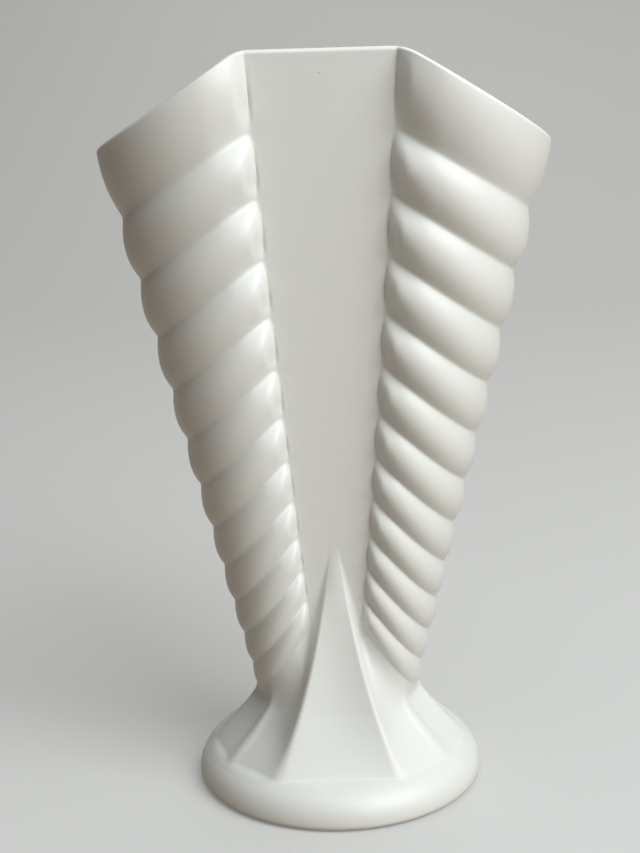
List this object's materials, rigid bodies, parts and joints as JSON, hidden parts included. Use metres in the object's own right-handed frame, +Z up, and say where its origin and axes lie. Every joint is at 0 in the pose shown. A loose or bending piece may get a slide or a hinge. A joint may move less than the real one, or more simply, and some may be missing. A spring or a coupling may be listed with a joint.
{
  "type": "fan vase",
  "caption": "Fan-shaped white glazed earthenware vase: two fluted wings beside a plain flat panel, tapering into a faceted pointed calyx on a round foot",
  "frame": {"origin": "middle of the foot, on the face it stands on", "axes": "+Z up, -Y towards the viewer, +X to the viewer's right along the width of the fan"},
  "size_m": [0.1198, 0.0818, 0.204],
  "materials": {
    "white_glaze": "satin white glaze, thinner on the ridges and lip"
  },
  "bodies": {
    "root": {"front_panel": "white_glaze", "back_panel": "white_glaze", "left_wing": "white_glaze", "right_wing": "white_glaze", "calyx": "white_glaze", "foot_disc": "white_glaze"}
  },
  "joints": []
}
